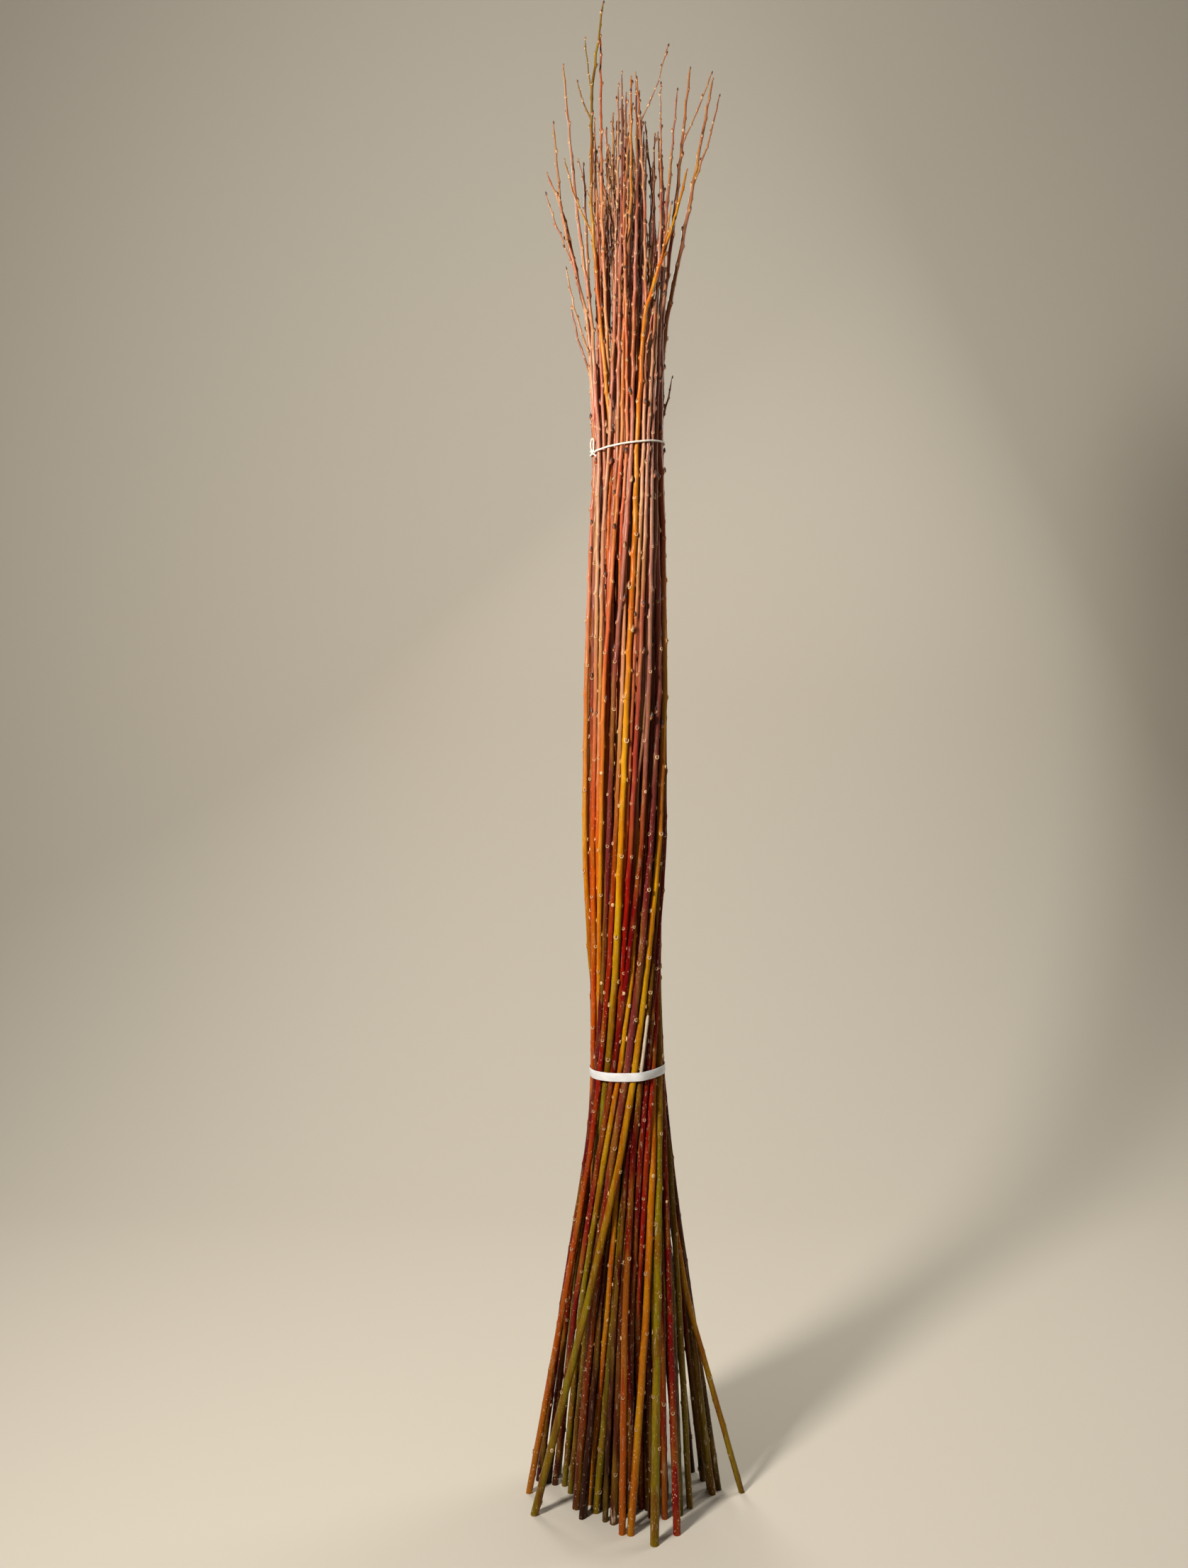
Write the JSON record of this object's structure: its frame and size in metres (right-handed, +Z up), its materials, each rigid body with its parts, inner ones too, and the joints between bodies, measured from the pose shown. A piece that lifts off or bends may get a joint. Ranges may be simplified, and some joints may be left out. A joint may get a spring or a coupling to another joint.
{
  "type": "bundle of willow rods",
  "caption": "Bundle of slender budded branches standing on its fanned cut ends, held by a flat plastic strap low down and by thin knotted twine higher up.",
  "frame": {"origin": "middle of the bounding box, on the floor that the cut ends stand on", "axes": "+Z up along the rods, -Y towards the front that the picture shows, +X to the right seen from there"},
  "size_m": [0.3176, 0.258, 2.1351],
  "materials": {
    "yellow_bark": "smooth, slightly glossy bark",
    "olive_bark": "smooth, slightly glossy bark",
    "orange_bark": "smooth, slightly glossy bark",
    "red_orange_bark": "smooth, slightly glossy bark",
    "crimson_bark": "smooth, slightly glossy bark",
    "maroon_bark": "smooth, slightly glossy bark",
    "purple_bark": "smooth, slightly glossy bark",
    "brown_bark": "smooth, slightly glossy bark",
    "peeled_wood": "bare, matt",
    "strap_plastic": "satin, slightly translucent",
    "twine_cotton": "matt cotton"
  },
  "bodies": {
    "root": {"peeled_stick": "peeled_wood", "rod_01": "yellow_bark", "rod_02": "purple_bark", "rod_03": "yellow_bark", "rod_04": "crimson_bark", "rod_05": "red_orange_bark", "rod_06": "maroon_bark", "rod_07": "olive_bark", "rod_08": "orange_bark", "rod_09": "yellow_bark", "rod_10": "yellow_bark", "rod_11": "orange_bark", "rod_12": "red_orange_bark", "rod_13": "orange_bark", "rod_14": "brown_bark", "rod_15": "crimson_bark", "rod_16": "crimson_bark", "rod_17": "red_orange_bark", "rod_18": "orange_bark", "rod_19": "olive_bark", "rod_20": "crimson_bark", "rod_21": "olive_bark", "rod_22": "maroon_bark", "rod_23": "yellow_bark", "rod_24": "orange_bark", "rod_25": "olive_bark", "rod_26": "brown_bark", "rod_27": "red_orange_bark", "rod_28": "brown_bark", "rod_29": "maroon_bark", "rod_30": "brown_bark", "rod_31": "orange_bark", "rod_32": "purple_bark", "rod_33": "orange_bark", "rod_34": "olive_bark", "rod_35": "purple_bark", "rod_36": "orange_bark", "rod_37": "purple_bark", "rod_38": "yellow_bark", "rod_39": "red_orange_bark", "rod_40": "purple_bark", "rod_41": "olive_bark", "rod_42": "crimson_bark", "rod_43": "yellow_bark", "rod_44": "red_orange_bark", "rod_45": "purple_bark", "rod_46": "olive_bark", "rod_47": "crimson_bark", "rod_48": "yellow_bark", "rod_49": "red_orange_bark", "rod_50": "purple_bark", "rod_51": "olive_bark", "rod_52": "crimson_bark", "rod_53": "yellow_bark", "rod_54": "red_orange_bark", "rod_55": "purple_bark", "rod_56": "olive_bark", "rod_57": "crimson_bark", "strap": "strap_plastic", "twine": "twine_cotton"}
  },
  "joints": []
}
